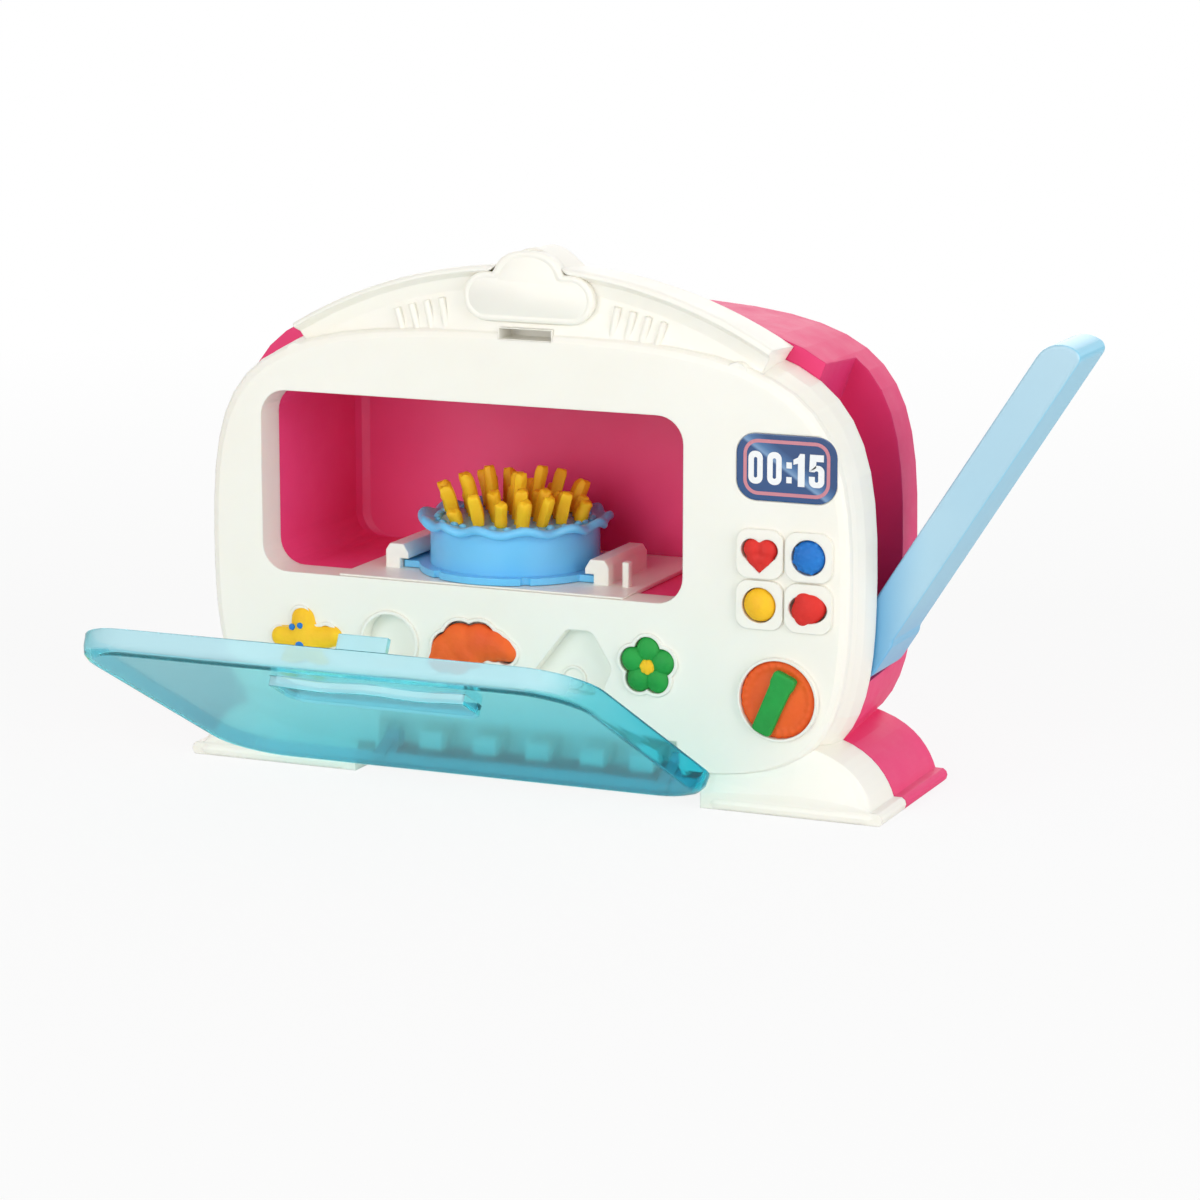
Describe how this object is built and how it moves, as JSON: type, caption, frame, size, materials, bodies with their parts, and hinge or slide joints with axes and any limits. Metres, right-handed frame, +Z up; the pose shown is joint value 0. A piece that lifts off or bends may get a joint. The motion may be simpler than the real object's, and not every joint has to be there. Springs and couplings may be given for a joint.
{
  "type": "toy oven",
  "caption": "Toy oven with a drop-down see-through door, a side lever that lifts a pusher through a dough dish on a rail tray, and shape moulds in its face.",
  "frame": {"origin": "centre of the bounding box in plan, on the surface under the feet", "axes": "+X to the lever's side as seen from the front, +Y from the front to the back, +Z up"},
  "size_m": [0.3988, 0.2648, 0.2354],
  "materials": {
    "cream_shell": "satin",
    "pink_shell": "satin",
    "timer_print": "glossy print",
    "steel": "plain",
    "white_inside": "matt",
    "blue_lever": "satin",
    "aqua_clear": "clear tinted plastic",
    "blue_dish": "satin",
    "dough_yellow": "soft matt",
    "dough_blue": "soft matt",
    "dough_orange": "soft matt",
    "dough_green": "soft matt",
    "dough_red": "soft matt"
  },
  "bodies": {
    "shell": {"front_cover": "cream_shell", "badge_plate": "cream_shell", "rear_casing": "pink_shell", "cavity_liner": "pink_shell", "dish_tray": "cream_shell", "timer_label": "timer_print", "case_screws": "steel", "liner_screws": "steel", "lever_pin": "steel", "beam_pin": "steel", "door_pin_left": "steel", "door_pin_right": "steel", "pusher_guide": "white_inside", "guide_screws": "steel", "dough_star": "dough_yellow", "star_dots": "dough_blue", "dough_croissant": "dough_orange", "dough_flower": "dough_green", "flower_centre": "dough_yellow", "dough_heart": "dough_red", "dough_ball_blue": "dough_blue", "dough_ball_yellow": "dough_yellow", "dough_oval_red": "dough_red", "dial_disc": "dough_orange", "dial_bar": "dough_green"},
    "door": {"door_panel": "aqua_clear"},
    "lever": {"lever_arm": "blue_lever"},
    "beam": {"lift_beam": "white_inside"},
    "pusher": {"pusher": "white_inside"},
    "dish": {"dish_base": "blue_dish", "dish_die": "blue_dish", "dough_strands": "dough_yellow"},
    "piston": {"dish_piston": "white_inside"}
  },
  "joints": [
    {"name": "door_hinge", "type": "hinge", "parent": "shell", "child": "door", "pos_m": [-0.03538, 0.03814, 0.016], "axis": [1, 0, 0], "range_deg": [-62.5, 0]},
    {"name": "lever_pivot", "type": "hinge", "parent": "shell", "child": "lever", "pos_m": [0.10562, 0.07944, 0.063], "axis": [0, 1, 0], "range_deg": [-32.5, 47.5]},
    {"name": "beam_pivot", "type": "hinge", "parent": "shell", "child": "beam", "pos_m": [-0.12538, 0.07244, 0.048], "axis": [0, -1, 0], "range_deg": [-7.38, 10.56]},
    {"name": "pusher_slide", "type": "slide", "parent": "shell", "child": "pusher", "axis": [0, 0, 1], "range_m": [-0.00803, 0.01169]},
    {"name": "dish_slide", "type": "slide", "parent": "shell", "child": "dish", "axis": [0, -1, 0], "range_m": [0, 0.112]},
    {"name": "piston_slide", "type": "slide", "parent": "dish", "child": "piston", "axis": [0, 0, 1], "range_m": [-0.0036, 0.00523]}
  ],
  "couplings": [
    {"joint": "beam_pivot", "follows": "lever_pivot", "ratio": 0.21177},
    {"joint": "pusher_slide", "follows": "lever_pivot", "m_per_rad": 0.013976},
    {"joint": "piston_slide", "follows": "lever_pivot", "m_per_rad": 0.00625}
  ]
}
